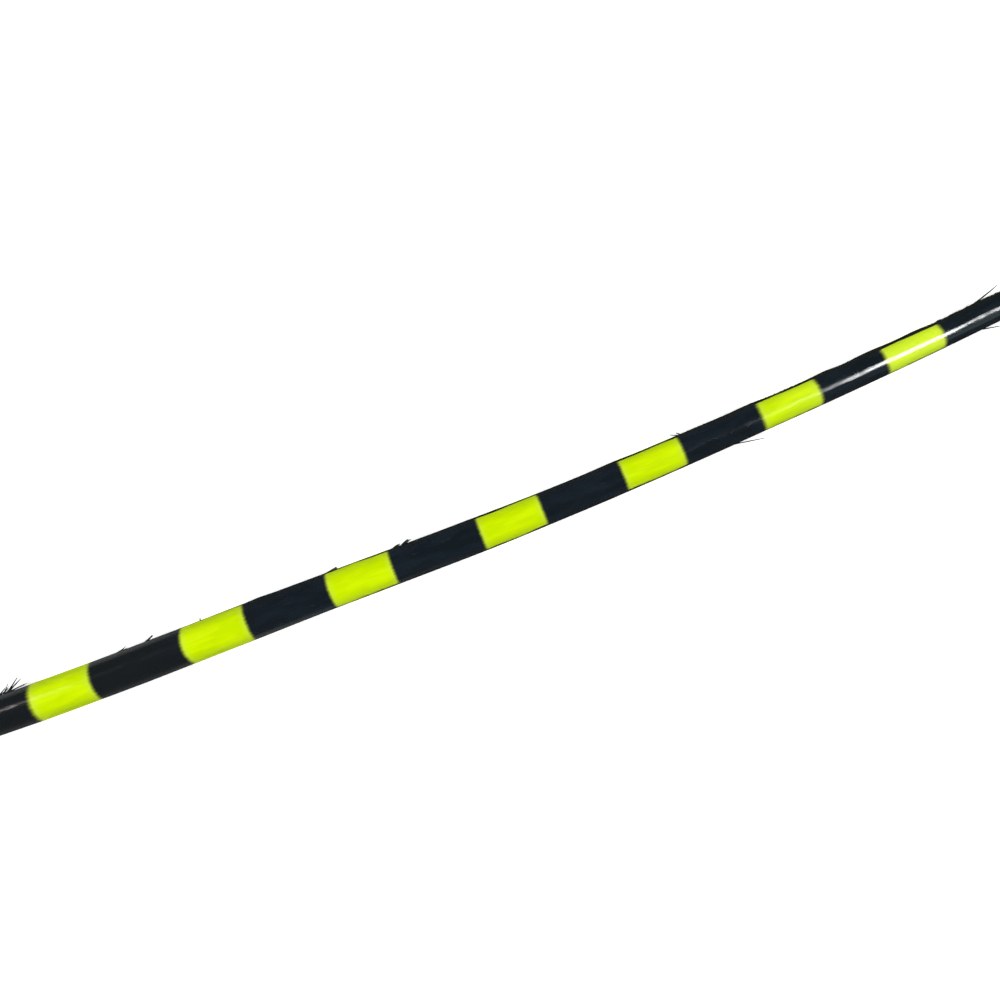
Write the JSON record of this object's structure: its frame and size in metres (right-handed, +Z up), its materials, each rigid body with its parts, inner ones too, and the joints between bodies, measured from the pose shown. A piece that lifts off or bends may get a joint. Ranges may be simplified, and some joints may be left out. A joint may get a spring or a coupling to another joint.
{
  "type": "stripped ostrich feather quill",
  "caption": "Long curved tapering shaft of an ostrich feather, stripped of its vanes and painted in lime and black bands, with stray barb tufts; lies flat as a craft or hat trim.",
  "frame": {"origin": "under the middle of the quill's box, on the surface it lies on", "axes": "+X from the hollow base towards the tip, +Y to the side that the tip sweeps to, +Z up"},
  "size_m": [0.42, 0.0656, 0.0048],
  "materials": {
    "painted_keratin": "satin paint in alternate lime and black bands on feather keratin"
  },
  "bodies": {
    "root": {"quill": "painted_keratin"}
  },
  "joints": []
}
